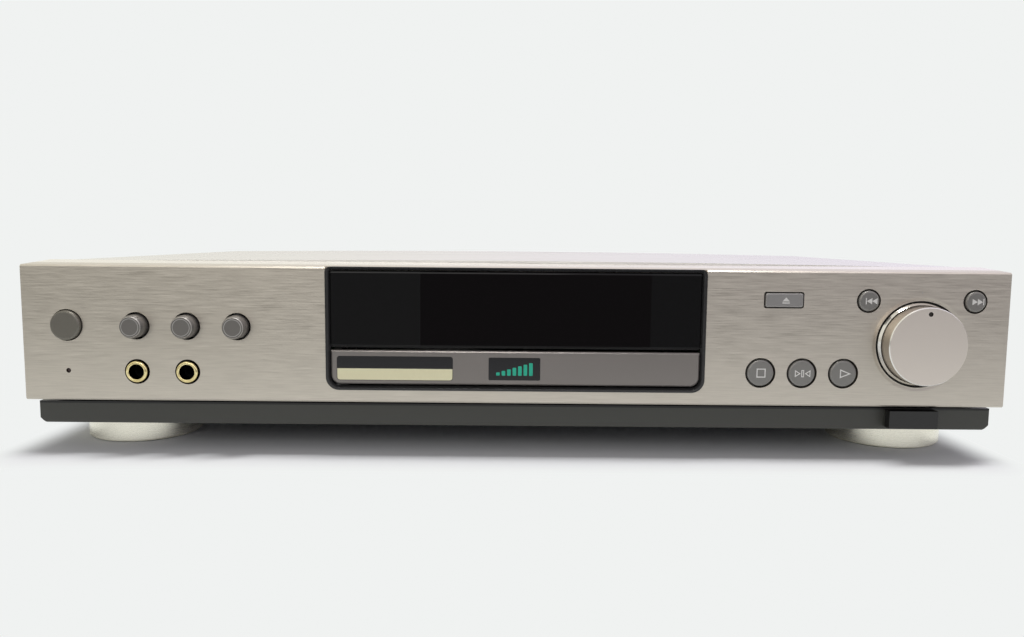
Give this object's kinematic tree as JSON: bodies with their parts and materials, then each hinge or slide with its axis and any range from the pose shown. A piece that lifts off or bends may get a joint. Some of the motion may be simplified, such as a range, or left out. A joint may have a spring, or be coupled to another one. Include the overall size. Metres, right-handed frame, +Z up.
{
  "type": "disc player with karaoke inputs",
  "caption": "Full-width disc player: brushed front panel with display window, sliding disc tray, shuttle dial, microphone sockets and knobs, on round feet.",
  "frame": {"origin": "centre of the overall box, on the shelf under the feet", "axes": "+Z up, +Y to the back, +X to the right as seen from the front; the front panel's face is at Y = -0.1334"},
  "size_m": [0.43, 0.2832, 0.086],
  "materials": {
    "champagne_aluminium": "brushed along the panel, anodised a warm grey",
    "silver_paint": "champagne silver satin paint on folded steel",
    "screw_steel": "dark plated",
    "zinc_steel": "zinc-plated sheet, satin",
    "black_plastic": "moulded, finely grained",
    "charcoal_plastic": "satin moulded",
    "smoked_window": "polished smoked acrylic",
    "pewter_plastic": "metallic satin",
    "button_grey": "metallic satin",
    "dial_metal": "turned, with a bright bevel",
    "gilt_metal": "gilt, polished",
    "lamp_lens": "dark red moulding",
    "foot_metal": "satin metallised",
    "dark_rubber": "matt",
    "board_green": "solder resist, satin",
    "tube_glass": "clear, with a dark anode",
    "motor_steel": "plated",
    "white_plastic": "natural acetal",
    "lens_glass": "coated, polished",
    "chip_black": "moulded",
    "winding_amber": "taped winding on a ferrite core",
    "capacitor_sleeve": "shrink sleeve",
    "sink_aluminium": "extruded, bare",
    "jack_metal": "nickel plated"
  },
  "bodies": {
    "case": {"top_cover": "silver_paint", "case_screws": "screw_steel", "bottom_chassis": "zinc_steel", "rear_panel": "zinc_steel", "fascia_panel": "champagne_aluminium", "fascia_frame": "black_plastic", "plinth_trim": "charcoal_plastic", "display_surround": "charcoal_plastic", "display_window": "smoked_window", "mic_jacks": "black_plastic", "mic_jack_rings": "gilt_metal", "standby_lamp": "lamp_lens", "foot_shells": "foot_metal", "foot_pads": "dark_rubber", "front_board": "board_green", "panel_switches": "black_plastic", "rotary_controls": "zinc_steel", "display_tube": "tube_glass", "loader_chassis": "black_plastic", "loader_grommets": "dark_rubber", "loading_motor": "motor_steel", "loading_belt": "dark_rubber", "clamp_bridge": "zinc_steel", "main_board": "board_green", "main_board_chips": "chip_black", "power_board": "board_green", "power_transformer": "winding_amber", "power_capacitors": "capacitor_sleeve", "heat_sink": "sink_aluminium", "phono_jacks": "jack_metal", "s_video_jacks": "black_plastic", "mains_inlet": "black_plastic"},
    "tray": {"disc_tray": "black_plastic", "tray_front": "pewter_plastic"},
    "drive_gear": {"tray_drive_gear": "white_plastic"},
    "reduction_gear": {"pulley_gear": "white_plastic"},
    "motor_wheel": {"motor_pulley": "gilt_metal"},
    "cam": {"lift_cam": "white_plastic"},
    "traverse": {"traverse_frame": "black_plastic", "spindle_motor": "motor_steel", "guide_rods": "motor_steel", "feed_motor": "motor_steel"},
    "disc_turntable": {"turntable": "black_plastic"},
    "disc_clamper": {"clamper": "black_plastic"},
    "pickup": {"pickup_body": "pewter_plastic"},
    "lens": {"objective_lens": "lens_glass"},
    "feed_reduction": {"feed_gear": "white_plastic"},
    "feed_drive": {"feed_pinion": "white_plastic"},
    "power_key": {"power_button": "button_grey"},
    "eject_key": {"eject_button": "button_grey"},
    "stop_key": {"stop_button": "button_grey"},
    "pause_key": {"pause_button": "button_grey"},
    "play_key": {"play_button": "button_grey"},
    "skip_back_key": {"skip_back_button": "button_grey"},
    "skip_forward_key": {"skip_forward_button": "button_grey"},
    "search_dial_body": {"search_dial": "dial_metal"},
    "mic_1_knob_body": {"mic_1_knob": "button_grey"},
    "mic_2_knob_body": {"mic_2_knob": "button_grey"},
    "echo_knob_body": {"echo_knob": "button_grey"}
  },
  "joints": [
    {"name": "tray_slide", "type": "slide", "parent": "case", "child": "tray", "axis": [0, -1, 0], "range_m": [0, 0.15]},
    {"name": "tray_gear_spin", "type": "hinge", "parent": "case", "child": "drive_gear", "pos_m": [-0.0485, -0.0974, 0.031], "axis": [0, 0, 1], "range_deg": [-5, 722]},
    {"name": "pulley_gear_spin", "type": "hinge", "parent": "case", "child": "reduction_gear", "pos_m": [-0.0275, -0.0974, 0.029], "axis": [0, 0, 1], "range_deg": [-1800, 5]},
    {"name": "motor_pulley_spin", "type": "hinge", "parent": "case", "child": "motor_wheel", "pos_m": [0.01, -0.0974, 0.031], "axis": [0, 0, 1], "range_deg": [-7300, 10]},
    {"name": "traverse_lift", "type": "hinge", "parent": "case", "child": "traverse", "pos_m": [0, 0.0366, 0.031], "axis": [1, 0, 0], "range_deg": [0, 3.2]},
    {"name": "cam_slide", "type": "slide", "parent": "case", "child": "cam", "axis": [1, 0, 0], "range_m": [0, 0.01201]},
    {"name": "turntable_spin", "type": "hinge", "parent": "traverse", "child": "disc_turntable", "pos_m": [0, -0.0534, 0.041], "axis": [0, 0, 1], "continuous": true},
    {"name": "clamper_spin", "type": "hinge", "parent": "case", "child": "disc_clamper", "pos_m": [0, -0.0534, 0.046], "axis": [0, 0, 1], "continuous": true},
    {"name": "pickup_slide", "type": "slide", "parent": "traverse", "child": "pickup", "axis": [0, 1, 0], "range_m": [0, 0.035]},
    {"name": "feed_gear_spin", "type": "hinge", "parent": "traverse", "child": "feed_reduction", "pos_m": [0.0358, 0.0006, 0.035], "axis": [0, 0, 1], "range_deg": [-425, 5]},
    {"name": "feed_pinion_spin", "type": "hinge", "parent": "traverse", "child": "feed_drive", "pos_m": [0.0358, 0.0136, 0.034], "axis": [0, 0, 1], "range_deg": [-5, 1400]},
    {"name": "lens_focus", "type": "slide", "parent": "pickup", "child": "lens", "axis": [0, 0, 1], "range_m": [-0.0005, 0.0005], "stiffness_N_per_m": 60},
    {"name": "power_push", "type": "slide", "parent": "case", "child": "power_key", "axis": [0, 1, 0], "range_m": [0, 0.002], "stiffness_N_per_m": 700},
    {"name": "eject_push", "type": "slide", "parent": "case", "child": "eject_key", "axis": [0, 1, 0], "range_m": [0, 0.0008], "stiffness_N_per_m": 900},
    {"name": "stop_push", "type": "slide", "parent": "case", "child": "stop_key", "axis": [0, 1, 0], "range_m": [0, 0.0008], "stiffness_N_per_m": 900},
    {"name": "pause_push", "type": "slide", "parent": "case", "child": "pause_key", "axis": [0, 1, 0], "range_m": [0, 0.0008], "stiffness_N_per_m": 900},
    {"name": "play_push", "type": "slide", "parent": "case", "child": "play_key", "axis": [0, 1, 0], "range_m": [0, 0.0008], "stiffness_N_per_m": 900},
    {"name": "skip_back_push", "type": "slide", "parent": "case", "child": "skip_back_key", "axis": [0, 1, 0], "range_m": [0, 0.0008], "stiffness_N_per_m": 900},
    {"name": "skip_forward_push", "type": "slide", "parent": "case", "child": "skip_forward_key", "axis": [0, 1, 0], "range_m": [0, 0.0008], "stiffness_N_per_m": 900},
    {"name": "dial_turn", "type": "hinge", "parent": "case", "child": "search_dial_body", "pos_m": [0.17665, -0.1374, 0.0517], "axis": [0, 1, 0], "range_deg": [-60, 60], "stiffness_Nm_per_rad": 0.02},
    {"name": "mic_1_turn", "type": "hinge", "parent": "case", "child": "mic_1_knob_body", "pos_m": [-0.1657, -0.1364, 0.057], "axis": [0, 1, 0], "range_deg": [-185, 115]},
    {"name": "mic_2_turn", "type": "hinge", "parent": "case", "child": "mic_2_knob_body", "pos_m": [-0.14365, -0.1364, 0.057], "axis": [0, 1, 0], "range_deg": [-300, 0]},
    {"name": "echo_turn", "type": "hinge", "parent": "case", "child": "echo_knob_body", "pos_m": [-0.1216, -0.1364, 0.057], "axis": [0, 1, 0], "range_deg": [-300, 0]}
  ],
  "couplings": [
    {"joint": "tray_gear_spin", "follows": "tray_slide", "rad_per_m": 83.333},
    {"joint": "pulley_gear_spin", "follows": "tray_slide", "rad_per_m": -208.33},
    {"joint": "motor_pulley_spin", "follows": "tray_slide", "rad_per_m": -846.77},
    {"joint": "cam_slide", "follows": "traverse_lift", "m_per_rad": 0.21486},
    {"joint": "feed_gear_spin", "follows": "pickup_slide", "rad_per_m": -208.33},
    {"joint": "feed_pinion_spin", "follows": "pickup_slide", "rad_per_m": 694.44}
  ]
}
